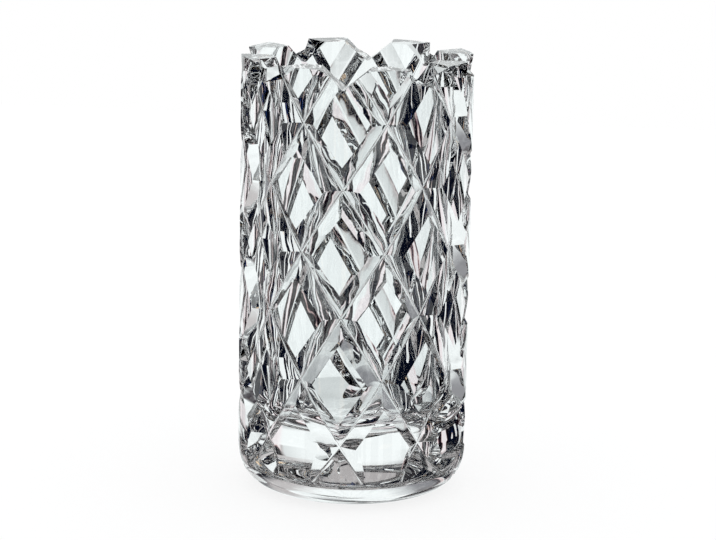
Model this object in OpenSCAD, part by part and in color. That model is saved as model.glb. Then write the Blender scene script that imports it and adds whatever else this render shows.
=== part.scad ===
// Heavy cut-glass cylinder vase: a thick clear blank, bored smooth inside and
// crossed outside by two sets of spiral wheel cuts that leave a lattice of lozenges.

/* [Body] */
// Height from the table to the flat tops of the rim
height = 200; // [170:1:240]
// Outside diameter of the uncut wall
body_d = 105; // [96:1:120]
// Thickness of the uncut wall round the smooth bore
wall_t = 13.5; // [8:0.5:16]
// Thickness of the solid glass under the bore
base_t = 32; // [22:1:40]
// Radius of the rounding between the bore and its floor
bore_corner_r = 15; // [6:1:20]
// Reach of the rounding between the wall and the flat underside
base_corner_r = 21; // [16:1:26]
// How square that rounding is: 2 is a plain arc
base_corner_power = 2.5; // [2:0.1:3]

/* [Cut lattice] */
// Number of crossings round the vase in each row
columns = 8; // [6:1:10]
// Number of rows of crossings
rows = 6; // [4:1:7]
// Height of the lowest row of crossings
first_row_z = 30.2; // [28:0.1:40]
// Distance from the top row to the rim, as a share of the distance between rows
rim_share = 0.835; // [0.7:0.005:0.87]
// Depth of a cut at its middle
cut_depth = 4.9; // [3:0.1:6]
// Included angle of the cutting wheel's rim
wheel_angle = 101; // [90:1:116]
// Radius of the wheel's worn edge, left in the bottom of each cut
wheel_tip_r = 1; // [0.4:0.1:1.5]
// How far a cut keeps its full depth below the lowest crossing
cut_tail = 5; // [1:0.5:7]
// Length over which a cut then rises to the surface
run_out = 16; // [12:0.5:20]

/* [Rim] */
// How far each rim notch bites past the top corner of the lozenge under it
notch_bite = 2.6; // [0.5:0.1:3.5]

/* [Hidden] */

// How far every cutter runs past the surface that it leaves
overrun = 1;
// Facets round the blank and the bore, facets of the bore's corner, and steps of the base's
round_fn = 96;
corner_fn = 32;
base_corner_steps = 8;
// Steps of a cut between two rows of crossings, and of its run-out
steps_per_row = 3;
run_out_steps = 5;
// Where a cutter ends past the tip of its run-out, as a share of the run-out
tip_pass_share = 1.05;

body_r = body_d / 2;
bore_r = body_r - wall_t;
half_wheel = wheel_angle / 2;

// The lattice on the unrolled wall: rows climb by row_pitch for each half column
row_pitch = (height - first_row_z) / (rows - 1 + rim_share);
half_column = 180 / columns;
half_column_l = body_r * half_column * PI / 180;
cut_lean = atan(row_pitch / half_column_l);
row_l = row_pitch / sin(cut_lean);

// Crossings that would lie just above the rim, and the lozenge corner under each
top_row_z = first_row_z + rows * row_pitch;
tip_rise = wheel_tip_r / sin(half_wheel) - wheel_tip_r;
cut_half_w = (cut_depth + tip_rise) * tan(half_wheel);
notch_z = top_row_z - cut_half_w / cos(cut_lean) - notch_bite;

// Where the flat underside ends, and the rounding from there up to the wall as [r, z]
foot_r = body_r - base_corner_r;
base_corner = [
    for (i = [0:base_corner_steps]) let (a = 90 * i / base_corner_steps, e = 2 / base_corner_power)
        [foot_r + base_corner_r * sin(a) ^ e, base_corner_r * (1 - cos(a) ^ e)],
];

// Half of the wheel's rim, from the middle of its edge out to a given height:
// [distance from the middle, height above the bottom of the cut]
function wheel_half(h) = [
    [0, 0],
    [wheel_tip_r * cos(half_wheel), wheel_tip_r * (1 - sin(half_wheel))],
    [(h + tip_rise) * tan(half_wheel), h],
];

// The whole section, from one shoulder through the edge to the other and back over the top
function wheel_section(h) = let (half = wheel_half(h)) [
    half[2], half[1], half[0], [-half[1].x, half[1].y], [-half[2].x, half[2].y], [0, h],
];

// Depth of the cut at a distance along it from its lowest crossing
function depth_at(s) = let (rise = max(0, -cut_tail - s) / run_out) cut_depth * (1 - rise * rise);

// A point of the cut: s along it, q across it on the unrolled wall, r from the vase's axis
function cut_point(s, q, r) = let (
    turn = (s * cos(cut_lean) - q * sin(cut_lean)) / body_r * 180 / PI,
    z = first_row_z + s * sin(cut_lean) + q * cos(cut_lean)
) [r * cos(turn), r * sin(turn), z];

// The wheel's section standing in the wall at s
function cut_ring(s) = let (d = depth_at(s)) [
    for (p = wheel_section(d + overrun)) cut_point(s, p.x, body_r - d + p.y)
];

// Distances along a cut at which it gets a ring: its run-out, its tail, then evenly up past the rim
cut_stations = [
    -cut_tail - run_out * tip_pass_share,
    for (i = [0:run_out_steps - 1]) -cut_tail - run_out * (1 - i / run_out_steps),
    -cut_tail,
    for (i = [0:(rows + 1) * steps_per_row]) i * row_l / steps_per_row,
];

// One spiral cut, swept up the wall from its run-out near the base and out through the rim
module spiral_cut() {
    rings = [for (s = cut_stations) cut_ring(s)];
    n = len(rings[0]);
    points = [for (ring = rings) each ring];
    sides = [
        for (i = [0:len(rings) - 2], j = [0:n - 1])
            let (a = i * n + j, b = i * n + (j + 1) % n)
                each [[a, b, a + n], [b, b + n, a + n]],
    ];
    first_end = [for (j = [1:n - 2]) [0, j + 1, j]];
    top = (len(rings) - 1) * n;
    last_end = [for (j = [1:n - 2]) [top, top + j, top + j + 1]];
    polyhedron(points = points, faces = concat(sides, first_end, last_end));
}

// All the cuts of one hand, one from each column
module cut_set() {
    for (i = [0:columns - 1])
        rotate(i * 2 * half_column) spiral_cut();
}

// The same wheel run straight through the wall at the rim
module rim_notch() {
    rotate([90, 0, 90])
        linear_extrude(body_r + overrun)
            translate([0, notch_z])
                polygon(wheel_section(height - notch_z + overrun));
}

// The plain blown blank before any cutting
module blank() {
    rotate_extrude($fn = round_fn)
        polygon([[0, 0], each base_corner, [body_r, height], [0, height]]);
}

// The bore, with its rounded floor
module bore() {
    rotate_extrude($fn = round_fn)
        union() {
            translate([0, base_t]) square([bore_r - bore_corner_r, height]);
            translate([0, base_t + bore_corner_r]) square([bore_r, height]);
            intersection() {
                translate([bore_r - bore_corner_r, base_t + bore_corner_r])
                    circle(bore_corner_r, $fn = corner_fn);
                translate([0, base_t]) square([bore_r, bore_corner_r]);
            }
        }
}

module vase_body() {
    color([0.88, 0.94, 0.95, 0.4])
        difference() {
            blank();
            bore();
            cut_set();
            mirror([0, 1, 0]) cut_set();
            for (i = [0:columns - 1])
                rotate(i * 2 * half_column + (rows % 2) * half_column) rim_notch();
        }
}

vase_body();
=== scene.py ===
import math

import bpy
import numpy as np
from mathutils import Matrix, Vector


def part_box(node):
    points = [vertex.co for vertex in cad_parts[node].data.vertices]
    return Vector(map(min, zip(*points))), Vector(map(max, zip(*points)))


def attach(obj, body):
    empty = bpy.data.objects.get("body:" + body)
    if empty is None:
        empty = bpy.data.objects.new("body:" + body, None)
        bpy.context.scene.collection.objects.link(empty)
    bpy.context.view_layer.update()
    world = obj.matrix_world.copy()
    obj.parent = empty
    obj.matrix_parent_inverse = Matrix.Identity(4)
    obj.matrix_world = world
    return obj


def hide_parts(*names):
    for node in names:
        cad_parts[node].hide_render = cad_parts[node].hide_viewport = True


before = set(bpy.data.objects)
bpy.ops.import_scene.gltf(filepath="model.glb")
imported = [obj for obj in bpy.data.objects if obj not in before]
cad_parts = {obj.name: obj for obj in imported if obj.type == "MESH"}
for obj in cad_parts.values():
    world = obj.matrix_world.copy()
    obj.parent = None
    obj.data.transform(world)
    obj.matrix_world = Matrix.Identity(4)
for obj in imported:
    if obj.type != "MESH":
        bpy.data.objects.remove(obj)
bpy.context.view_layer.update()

scene = bpy.context.scene

# Camera
# A long lens a little above the middle of the vase, which stands almost square in the frame.
PHOTO_WIDTH = 716
FOCAL_PIXELS = 2752.6
LOOK_AT = Vector((0, 0, 0.1003))
CAMERA_DISTANCE = 1.26
CAMERA_AZIMUTH = math.radians(6.7)
CAMERA_ELEVATION = math.radians(12.79)
CAMERA_ROLL = math.radians(0.95)
FRAME_SHIFT_PIXELS = 3.7
SENSOR_WIDTH = 36
CLIP_END = 20

camera_data = bpy.data.cameras.new("camera")
camera_data.sensor_width = SENSOR_WIDTH
camera_data.lens = FOCAL_PIXELS / PHOTO_WIDTH * SENSOR_WIDTH
camera_data.shift_x = FRAME_SHIFT_PIXELS / PHOTO_WIDTH
camera_data.clip_end = CLIP_END
camera = bpy.data.objects.new("camera", camera_data)
towards_camera = Vector((
    math.sin(CAMERA_AZIMUTH) * math.cos(CAMERA_ELEVATION),
    -math.cos(CAMERA_AZIMUTH) * math.cos(CAMERA_ELEVATION),
    math.sin(CAMERA_ELEVATION),
))
camera.matrix_world = (
    Matrix.Translation(LOOK_AT + CAMERA_DISTANCE * towards_camera)
    @ towards_camera.to_track_quat("Z", "Y").to_matrix().to_4x4()
    @ Matrix.Rotation(CAMERA_ROLL, 4, "Z")
)
scene.collection.objects.link(camera)
scene.camera = camera
scene.view_settings.view_transform = "Standard"

# Vase blank
# Clear lead crystal, blown thick into a cylinder and ground flat under the base. The bore is
# smooth, and the solid base takes up about a sixth of the height.
MM = 0.001
low_corner, high_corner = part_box("vase_body")
HEIGHT = high_corner[2]
BODY_R = high_corner[0]
BORE_R = 39 * MM
BASE_THICKNESS = 32 * MM
BORE_CORNER_R = 15 * MM
BASE_CORNER_R = 21 * MM
BASE_CORNER_POWER = 2.5
ROUND_STEPS = 360
CORNER_STEPS = 24
CRYSTAL_COLOUR = "#FDFFFF"
CRYSTAL_IOR = 1.555


def solid_from_rings(name, rings):
    """An object whose skin joins each ring of points to the next one, with a flat face at both ends.

    rings has the shape (rings, points in a ring, 3).
    """
    ring_count, points = rings.shape[:2]
    index = np.arange(ring_count * points).reshape(ring_count, points)
    here, over = index[:-1], index[1:]
    sides = np.stack([here, np.roll(here, -1, 1), np.roll(over, -1, 1), over], -1).reshape(-1, 4)
    mesh = bpy.data.meshes.new(name)
    faces = sides.tolist() + [index[0][::-1].tolist(), index[-1].tolist()]
    mesh.from_pydata(rings.reshape(-1, 3).tolist(), [], faces)
    mesh.update()
    obj = bpy.data.objects.new(name, mesh)
    scene.collection.objects.link(obj)
    return obj


def blank_profile():
    """Radius and height along the blank's section, from the flat underside up the wall and down the bore.

    The base corner is a superellipse, whose sine and cosine are raised to 2 over its power. The
    bore's corner is a quarter circle.
    """
    turn = np.linspace(0, np.pi / 2, CORNER_STEPS)
    outside = np.stack([
        BODY_R - BASE_CORNER_R + BASE_CORNER_R * np.sin(turn) ** (2 / BASE_CORNER_POWER),
        BASE_CORNER_R - BASE_CORNER_R * np.cos(turn) ** (2 / BASE_CORNER_POWER),
    ], -1)
    rim = np.array([[BODY_R, HEIGHT], [BORE_R, HEIGHT]])
    inside = np.stack([
        BORE_R - BORE_CORNER_R + BORE_CORNER_R * np.cos(turn),
        BASE_THICKNESS + BORE_CORNER_R - BORE_CORNER_R * np.sin(turn),
    ], -1)
    return np.concatenate([outside, rim, inside])


def revolve(profile, steps):
    """Rings of points round the Z axis, one for each point of a profile of radius and height."""
    angle = np.linspace(0, 2 * np.pi, steps, endpoint=False)
    radius, height = profile[:, 0, None], profile[:, 1, None]
    return np.stack([
        radius * np.cos(angle), radius * np.sin(angle), height + 0 * angle,
    ], -1)


def linear(hex_colour):
    """The linear RGBA of an sRGB hex colour."""
    values = [int(hex_colour[i:i + 2], 16) / 255 for i in (1, 3, 5)]
    return [v / 12.92 if v <= 0.04045 else ((v + 0.055) / 1.055) ** 2.4 for v in values] + [1]


def add_node(tree, kind, settings={}, inputs={}, stops=()):
    """A new node with its settings and its inputs, each a value, an sRGB hex colour or a feeding socket.

    stops are those of a colour ramp: a place from 0 to 1 and an sRGB hex colour each.
    """
    node = tree.nodes.new(kind)
    for name, value in settings.items():
        setattr(node, name, value)
    for name, value in inputs.items():
        if isinstance(value, bpy.types.NodeSocket):
            tree.links.new(value, node.inputs[name])
        elif isinstance(value, str):
            node.inputs[name].default_value = linear(value)
        else:
            node.inputs[name].default_value = value
    if stops:
        ramp = node.color_ramp.elements
        ramp.remove(ramp[1])
        ramp[0].position = stops[0][0]
        ramp[0].color = linear(stops[0][1])
    for place, colour in stops[1:]:
        ramp.new(place).color = linear(colour)
    return node


def lead_crystal(name, finish=None):
    """Clear lead crystal: all but colourless, bending light strongly, polished without any haze.

    finish is a function that gives the tree's glass its own surface.
    """
    material = bpy.data.materials.new(name)
    material.use_nodes = True
    tree = material.node_tree
    tree.nodes.clear()
    glass = add_node(tree, "ShaderNodeBsdfPrincipled", inputs={
        "Base Color": CRYSTAL_COLOUR, "Roughness": 0.0, "IOR": CRYSTAL_IOR, "Transmission Weight": 1.0,
    })
    add_node(tree, "ShaderNodeOutputMaterial", inputs={"Surface": glass.outputs[0]})
    if finish:
        finish(tree, glass)
    return material


# The blank's own skin, as the flame left it: without any texture, so that the lozenges are clear
# windows with sharp outlines.
fire_polished = lead_crystal("lead_crystal_fire_polished")
vase = solid_from_rings("vase_crystal", revolve(blank_profile(), ROUND_STEPS))
vase.data.materials.append(fire_polished)

# Spiral cuts
# A stone wheel with a V rim is led up the wall in two sets of eight parallel cuts, one of each
# hand. They cross in six rows and leave lozenges of the blank's own surface between them. Each cut
# starts in a leaf-shaped run-in above the base and leaves the wall through the rim.
COLUMNS = 8
ROWS = 6
FIRST_ROW_Z = 30.2 * MM
RIM_SHARE = 0.835
CUT_DEPTH = 4.9 * MM
WHEEL_HALF_ANGLE = math.radians(50.5)
WHEEL_TIP_R = 1 * MM
CUT_TAIL = 5 * MM
RUN_OUT = 16 * MM
TIP_PASS_SHARE = 1.04
PAST_RIM = 8 * MM
OVERRUN = 1 * MM
CUT_STEP = 2 * MM
TIP_STEPS = 6
WANDER = 0.3 * MM
WANDER_LENGTH = 110 * MM
SWELL_SIZE = 7 * MM
SWELL_HEIGHT = 0.25 * MM
HAND_SEED = 7


def acid_polish(tree, glass):
    """A faint swell: the stone's marks, which the acid has washed down to soft waves."""
    place = add_node(tree, "ShaderNodeTexCoord")
    swell = add_node(tree, "ShaderNodeTexNoise", inputs={
        "Vector": place.outputs["Object"], "Scale": 1 / SWELL_SIZE, "Detail": 0.0,
    })
    bump = add_node(tree, "ShaderNodeBump", inputs={"Distance": SWELL_HEIGHT, "Height": swell.outputs[0]})
    tree.links.new(bump.outputs[0], glass.inputs["Normal"])


# The cuts are as clear and glossy as the skin, but their flanks aren't quite flat, so that what
# they show is drawn out into wavy streaks.
wheel_cut = lead_crystal("lead_crystal_wheel_cut_acid_polished", acid_polish)

HALF_COLUMN = math.pi / COLUMNS
ROW_PITCH = (HEIGHT - FIRST_ROW_Z) / (ROWS - 1 + RIM_SHARE)
CUT_LEAN = math.atan2(ROW_PITCH, HALF_COLUMN * BODY_R)
TIP_RISE = WHEEL_TIP_R / math.sin(WHEEL_HALF_ANGLE) - WHEEL_TIP_R
FRONT_COLUMN = -math.pi / 2
rng = np.random.default_rng(HAND_SEED)


def wheel_section(height):
    """Across and up, the wheel's rim from one shoulder round the worn tip to the other.

    The tip is an arc that the two flanks touch. height is an array of how far each section
    stands above the bottom of the cut, and the result has one section for each.
    """
    lean = np.linspace(math.pi / 2 - WHEEL_HALF_ANGLE, WHEEL_HALF_ANGLE - math.pi / 2, TIP_STEPS + 1)
    tip_across = WHEEL_TIP_R * np.sin(lean)
    tip_up = WHEEL_TIP_R * (1 - np.cos(lean))
    across = (height + TIP_RISE) * math.tan(WHEEL_HALF_ANGLE)
    ones = np.ones_like(height)[:, None]
    sections_across = np.concatenate([across[:, None], ones * tip_across, -across[:, None], 0 * ones], 1)
    sections_up = np.concatenate([height[:, None], ones * tip_up, height[:, None], height[:, None]], 1)
    return sections_across, sections_up


def cut_rings(hand, column):
    """The wheel's section carried along one cut.

    On the unrolled wall the cut climbs at its lean. Its depth is full above its tail and falls
    off below with the square of the distance, as a round wheel leaves the glass. It sways to both
    sides of its line in a long sine, as the cutter's hands do.
    """
    lowest = -CUT_TAIL - TIP_PASS_SHARE * RUN_OUT
    highest = (HEIGHT + PAST_RIM - FIRST_ROW_Z) / math.sin(CUT_LEAN)
    along = np.linspace(lowest, highest, int((highest - lowest) / CUT_STEP))
    fade = np.maximum(0, -CUT_TAIL - along) / RUN_OUT
    phase, _ = rng.uniform(0, 2 * np.pi, 2)
    sway = WANDER * np.sin(2 * np.pi * along / WANDER_LENGTH + phase)
    depth = CUT_DEPTH * (1 - fade ** 2)
    across, up = wheel_section(depth + OVERRUN)
    across = across + sway[:, None]
    along, depth = along[:, None], depth[:, None]
    angle = (along * math.cos(CUT_LEAN) - across * math.sin(CUT_LEAN)) / BODY_R
    angle = FRONT_COLUMN + hand * angle + column * 2 * HALF_COLUMN
    radius = BODY_R - depth + up
    height = FIRST_ROW_Z + along * math.sin(CUT_LEAN) + across * math.cos(CUT_LEAN)
    rings = np.stack([radius * np.cos(angle), radius * np.sin(angle), height], -1)
    return rings[:, ::-hand]


def cut_away(body, cutters):
    """Takes the cutters, which don't touch each other, out of the body and deletes them."""
    bpy.ops.object.select_all(action="DESELECT")
    for cutter in cutters:
        cutter.select_set(True)
    bpy.context.view_layer.objects.active = cutters[0]
    bpy.ops.object.join()
    cutters[0].data.materials.append(wheel_cut)
    cut = body.modifiers.new("cut", "BOOLEAN")
    cut.operation = "DIFFERENCE"
    cut.solver = "MANIFOLD"
    cut.object = cutters[0]
    cut.material_mode = "TRANSFER"
    bpy.context.view_layer.update()
    done = bpy.data.meshes.new_from_object(body.evaluated_get(bpy.context.evaluated_depsgraph_get()))
    body.modifiers.clear()
    body.data = done
    bpy.data.objects.remove(cutters[0])


for hand in (1, -1):
    cut_away(vase, [solid_from_rings("cut", cut_rings(hand, column)) for column in range(COLUMNS)])

# Rim notches
# The same wheel bites straight through the wall above each top lozenge, so that the rim stands
# up in eight flat, polished merlons.
NOTCH_BITE = 2.6 * MM
NOTCH_INNER_R = 37 * MM


def notch_rings(column):
    """The wheel's section carried straight out through the wall, level with the rim."""
    top_row_z = FIRST_ROW_Z + ROWS * ROW_PITCH
    half_width = (CUT_DEPTH + TIP_RISE) * math.tan(WHEEL_HALF_ANGLE)
    bottom = top_row_z - half_width / math.cos(CUT_LEAN) - NOTCH_BITE
    across, up = wheel_section(np.full(2, HEIGHT - bottom + OVERRUN))
    out = np.array([NOTCH_INNER_R, BODY_R + OVERRUN])[:, None]
    angle = FRONT_COLUMN + column * 2 * HALF_COLUMN
    return np.stack([
        out * math.cos(angle) - across * math.sin(angle),
        out * math.sin(angle) + across * math.cos(angle),
        bottom + up + 0 * out,
    ], -1)[:, ::-1]


cut_away(vase, [solid_from_rings("notch", notch_rings(column)) for column in range(COLUMNS)])

# Round walls
# What the wheel leaves of the wall and of the bore is still truly round glass. The slivers that
# the cuts make of its faces would bend light as facets do, so their corners get the round normals.
SHARP_EDGE = math.radians(20)
WALL_REACH = 0.02 * MM
FACES_OUT = 0.999


def values_of(items, attribute, width=3, kind=float):
    """One attribute of a mesh's items as an array with a row for each."""
    values = np.empty(len(items) * width, kind)
    items.foreach_get(attribute, values)
    return values.reshape(-1, width)


mesh = vase.data
mesh.shade_smooth()
mesh.set_sharp_from_angle(angle=SHARP_EDGE)
corner_normals = values_of(mesh.corner_normals, "vector")
corners = values_of(mesh.vertices, "co")[values_of(mesh.loops, "vertex_index", 1, int)[:, 0]]
face_sizes = values_of(mesh.polygons, "loop_total", 1, int)[:, 0]
faces = np.repeat(values_of(mesh.polygons, "normal"), face_sizes, 0)
radius = np.hypot(corners[:, 0], corners[:, 1])
outward = np.stack([corners[:, 0] / radius, corners[:, 1] / radius, 0 * radius], -1)
for wall_r, side in ((BODY_R, 1), (BORE_R, -1)):
    on_wall = np.abs(radius - wall_r) < WALL_REACH
    on_wall &= (faces * outward).sum(1) * side > FACES_OUT
    corner_normals[on_wall] = side * outward[on_wall]
mesh.normals_split_custom_set(corner_normals.tolist())

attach(vase, "root")
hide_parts("vase_body")

# Floor
# A plain white board that carries the vase's shadow. The glass doesn't see it: the studio holds the
# floor that shows through the vase.
FLOOR_REACH = 1.0
FLOOR_WHITE = 1.04
SHADOW_SHARE = 0.2
BOARD_COLOUR = "#F4F5F6"

floor_mesh = bpy.data.meshes.new("floor")
floor_mesh.from_pydata([
    (x * FLOOR_REACH, y * FLOOR_REACH, low_corner[2]) for x, y in ((-1, -1), (1, -1), (1, 1), (-1, 1))
], [], [(0, 1, 2, 3)])
floor = bpy.data.objects.new("floor", floor_mesh)
scene.collection.objects.link(floor)
floor.visible_transmission = False
floor.visible_glossy = False

# Painted board without any gloss: the camera sees it as white paper with a soft shadow.
board = bpy.data.materials.new("matt_board")
board.use_nodes = True
tree = board.node_tree
tree.nodes.clear()
matt = add_node(tree, "ShaderNodeBsdfDiffuse", inputs={"Color": BOARD_COLOUR})
white = add_node(tree, "ShaderNodeEmission", inputs={"Color": "#FFFFFF", "Strength": FLOOR_WHITE})
rays = add_node(tree, "ShaderNodeLightPath")
share = add_node(tree, "ShaderNodeMath", {"operation": "MULTIPLY"}, {
    0: rays.outputs["Is Camera Ray"], 1: 1 - SHADOW_SHARE,
})
paper = add_node(tree, "ShaderNodeMixShader", inputs={
    0: share.outputs[0], 1: matt.outputs[0], 2: white.outputs[0],
})
add_node(tree, "ShaderNodeOutputMaterial", inputs={"Surface": paper.outputs[0]})
floor.data.materials.append(board)

# Studio
# To the camera it is a plain white room. Rays in the glass see four white backdrops with dim gaps
# between them, the front one with grey wings, a raised middle and a skirting, a dark ceiling with a
# soft light, and a floor that is lit in front and at the back. Places are degrees of elevation, and
# of turn from the middle of the front backdrop, which stands behind the vase.
BACKDROP_MIDDLE = math.degrees(CAMERA_AZIMUTH) + 90
EDGE = 1
NEAR_FLOOR_TOP = -55
FLOOR_TOP = -29
SKIRTING_BOTTOM = -19.5
SKIRTING_TOP = -15.5
LOW_WALL_TOP = -4
MIDDLE_WALL_TOP = 12
WALL_TOP = 33
RAISED_TOP = 41
RAISED_HALF_WIDTH = 18
OVERHEAD_FROM = 45
FRONT_HALF_WIDTH = 44
REFLECTED_MORE_THAN = 0.5

# The room's few tones, from paper white down to black cloth
WHITE = "#F4F8F8"
PALE = "#D8DCDC"
LIGHT = "#C8C4C4"
SILVER = "#B0ACAC"
GREY = "#909094"
SLATE = "#606064"
DEEP = "#484448"
BLUE_DEEP = "#384054"
DIM = "#282C38"
DARK = "#0C0C14"

# A mix of two colours has them at its inputs 6 and 7, and the result at its output 2.
BLEND = {"data_type": "RGBA"}

world = bpy.data.worlds.new("studio")
scene.world = world
world.use_nodes = True
tree = world.node_tree
tree.nodes.clear()
direction = add_node(tree, "ShaderNodeTexCoord").outputs["Generated"]
height = add_node(tree, "ShaderNodeSeparateXYZ", inputs={0: direction}).outputs["Z"]
turned = add_node(tree, "ShaderNodeVectorRotate", {"rotation_type": "Z_AXIS"}, {
    "Vector": direction, "Angle": -math.radians(BACKDROP_MIDDLE),
})
turn = add_node(tree, "ShaderNodeTexGradient", {"gradient_type": "RADIAL"}, {
    0: turned.outputs[0],
}).outputs["Fac"]


def round_the_room(stops):
    """Colours by turn, from right to left: -180 is the ramp's start, 0 its middle and 180 its end."""
    return add_node(tree, "ShaderNodeValToRGB", inputs={0: turn}, stops=[
        (0.5 + degrees / 360, colour) for degrees, colour in stops
    ]).outputs[0]


def beyond(right, left):
    """0 between two turns and 1 beyond them."""
    return round_the_room([
        (right - EDGE, "#FFFFFF"), (right, "#000000"), (left, "#000000"), (left + EDGE, "#FFFFFF"),
    ])


def stacked(elevation, under, over):
    """What is seen under an elevation and over it."""
    share = add_node(tree, "ShaderNodeMapRange", {"interpolation_type": "SMOOTHSTEP"}, {
        "Value": height,
        "From Min": math.sin(math.radians(elevation - EDGE)),
        "From Max": math.sin(math.radians(elevation + EDGE)),
    })
    return add_node(tree, "ShaderNodeMix", BLEND, {0: share.outputs[0], 6: under, 7: over}).outputs[2]


def wall(front):
    """A band of the wall: the front behind the vase, with the backdrops at the sides and the back."""
    return round_the_room([
        (-180, WHITE), (-150, WHITE), (-146, DIM), (-118, DIM), (-114, WHITE), (-66, WHITE),
    ] + front + [
        (66, WHITE), (114, WHITE), (118, DIM), (146, DIM), (150, WHITE),
    ])


def mirrored(stops):
    """The stops of the left half and, turned over, the same ones for the right half."""
    return [(-degrees, colour) for degrees, colour in reversed(stops)] + stops


# Each band's front goes from the white backdrop over the wings to the gaps. In the upper band the
# left wing is darker than the right one.
upper_wall = wall([
    (-62, SLATE), (-44, SLATE), (-36, LIGHT), (-26, LIGHT), (-12, WHITE),
    (14, WHITE), (30, GREY), (40, GREY), (44, DEEP), (62, DEEP),
])
middle_wall = wall(mirrored([
    (15, WHITE), (27, PALE), (28, SILVER), (33, LIGHT), (37, LIGHT), (43, GREY), (47, DEEP), (62, DEEP),
]))
low_wall = wall(mirrored([(31, WHITE), (33, LIGHT), (47, LIGHT), (53, GREY), (62, GREY)]))
skirting = round_the_room([(-13, DEEP), (-11, WHITE), (22, WHITE), (24, DEEP)])
skirted = stacked(SKIRTING_BOTTOM, low_wall, stacked(SKIRTING_TOP, skirting, low_wall))
walls = stacked(LOW_WALL_TOP, skirted, stacked(MIDDLE_WALL_TOP, middle_wall, upper_wall))

# Rays that were reflected inside the glass, with a Glossy Depth of 1 or more, find the sides and the
# back of the room darker.
dark_sides = round_the_room([
    (-180, DIM), (-178, GREY), (-142, GREY), (-138, DEEP), (-70, DEEP), (-66, GREY), (-48, GREY),
    (48, SILVER), (66, SILVER), (70, GREY), (98, SLATE), (102, LIGHT), (138, LIGHT), (142, DIM),
])
rays = add_node(tree, "ShaderNodeLightPath")
was_reflected = add_node(tree, "ShaderNodeMath", {"operation": "GREATER_THAN"}, {
    0: rays.outputs["Glossy Depth"], 1: REFLECTED_MORE_THAN,
})
reflected_walls = add_node(tree, "ShaderNodeMix", BLEND, {
    0: beyond(-FRONT_HALF_WIDTH, FRONT_HALF_WIDTH), 6: walls, 7: dark_sides,
})
walls = add_node(tree, "ShaderNodeMix", BLEND, {
    0: was_reflected.outputs[0], 6: walls, 7: reflected_walls.outputs[2],
}).outputs[2]

lit_floor = round_the_room([
    (-180, PALE), (-140, LIGHT), (-130, BLUE_DEEP), (-60, BLUE_DEEP), (-44, GREY), (-34, GREY), (-12, PALE),
    (14, PALE), (20, GREY), (42, GREY), (60, BLUE_DEEP), (130, BLUE_DEEP), (140, LIGHT), (180, PALE),
])
tone = stacked(FLOOR_TOP, stacked(NEAR_FLOOR_TOP, PALE, lit_floor), walls)
raised_backdrop = round_the_room([
    (-RAISED_HALF_WIDTH - EDGE, DARK), (-RAISED_HALF_WIDTH, SILVER),
    (RAISED_HALF_WIDTH, SILVER), (RAISED_HALF_WIDTH + EDGE, DARK),
])
ceiling = stacked(OVERHEAD_FROM, stacked(RAISED_TOP, raised_backdrop, DARK), SILVER)

# Streaks
# Beside the middle of the front backdrop, thin upright strips of light and dark share out the walls
# and the floor, and the share that is light makes their tone. Their soft edges are blue and orange at
# the sides, as glass splits light at an edge, and mauve on the wings.
STREAK_CELLS = 60
STREAK_HEIGHT_SHARE = 0.03
STREAK_SPREAD = 0.28
STREAK_EDGE = 0.11
WARM_HALF_WIDTH = 48
SMOOTH_HALF_WIDTH = 28
UPPER_SMOOTH_HALF_WIDTH = 45
GLASS_LIGHT = 1.08

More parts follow.
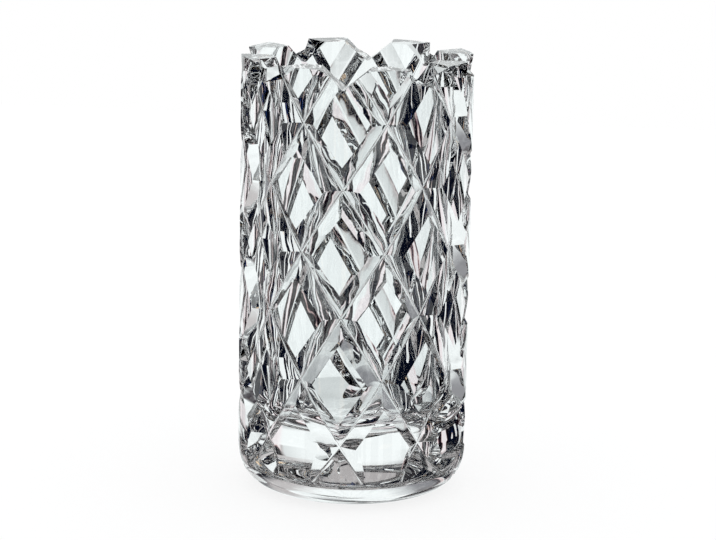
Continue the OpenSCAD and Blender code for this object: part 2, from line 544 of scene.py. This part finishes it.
stretched = add_node(tree, "ShaderNodeMath", {"operation": "MULTIPLY"}, {0: height, 1: STREAK_HEIGHT_SHARE})
strip_place = add_node(tree, "ShaderNodeCombineXYZ", inputs={0: turn, 1: stretched.outputs[0]})
strip = add_node(tree, "ShaderNodeTexNoise", {"noise_dimensions": "2D"}, {
    "Vector": strip_place.outputs[0], "Scale": STREAK_CELLS, "Detail": 0,
})
strip_share = add_node(tree, "ShaderNodeMapRange", inputs={
    "Value": strip.outputs[0], "From Min": STREAK_SPREAD, "From Max": 1 - STREAK_SPREAD,
})
ahead = add_node(tree, "ShaderNodeMath", {"operation": "SUBTRACT"}, {0: tone, 1: strip_share.outputs[0]})
lit = add_node(tree, "ShaderNodeMapRange", inputs={
    "Value": ahead.outputs[0], "From Min": -STREAK_EDGE, "From Max": STREAK_EDGE,
})
cool_streaks = add_node(tree, "ShaderNodeValToRGB", inputs={0: lit.outputs[0]}, stops=[
    (0, "#060A17"), (0.38, "#141F42"), (0.5, "#2B4A8C"), (0.6, "#E8C294"), (0.7, WHITE),
])
warm_streaks = add_node(tree, "ShaderNodeValToRGB", inputs={0: lit.outputs[0]}, stops=[
    (0, "#120B10"), (0.3, "#43303A"), (0.5, "#7D626A"), (0.68, "#DCC3BC"), (0.82, "#E8DBDD"), (1, "#F2EBED"),
])
streaks = add_node(tree, "ShaderNodeMix", BLEND, {
    0: beyond(-WARM_HALF_WIDTH, WARM_HALF_WIDTH), 6: warm_streaks.outputs[0], 7: cool_streaks.outputs[0],
})
streaky = stacked(
    MIDDLE_WALL_TOP,
    beyond(-SMOOTH_HALF_WIDTH, SMOOTH_HALF_WIDTH),
    beyond(-UPPER_SMOOTH_HALF_WIDTH, UPPER_SMOOTH_HALF_WIDTH),
)
streaked = add_node(tree, "ShaderNodeMix", BLEND, {0: streaky, 6: tone, 7: streaks.outputs[2]})
glass_sees = stacked(WALL_TOP, streaked.outputs[2], ceiling)

# Only rays in the glass get the studio, a little brighter than it is, for what the polished
# surfaces turn away.
in_glass = add_node(tree, "ShaderNodeMath", {"operation": "MAXIMUM"}, {
    0: rays.outputs["Is Transmission Ray"], 1: rays.outputs["Is Glossy Ray"],
}).outputs[0]
seen = add_node(tree, "ShaderNodeMix", BLEND, {0: in_glass, 6: "#FFFFFF", 7: glass_sees})
strength = add_node(tree, "ShaderNodeMapRange", inputs={
    "Value": in_glass, "To Min": 1, "To Max": GLASS_LIGHT,
})
background = add_node(tree, "ShaderNodeBackground", inputs={0: seen.outputs[2], 1: strength.outputs[0]})
add_node(tree, "ShaderNodeOutputWorld", inputs={"Surface": background.outputs[0]})

# Light crosses up to four skins of glass, and is reflected between them a few times at most.
LIGHT_BOUNCES = 8
scene.cycles.max_bounces = LIGHT_BOUNCES
scene.cycles.transmission_bounces = LIGHT_BOUNCES
scene.cycles.glossy_bounces = LIGHT_BOUNCES
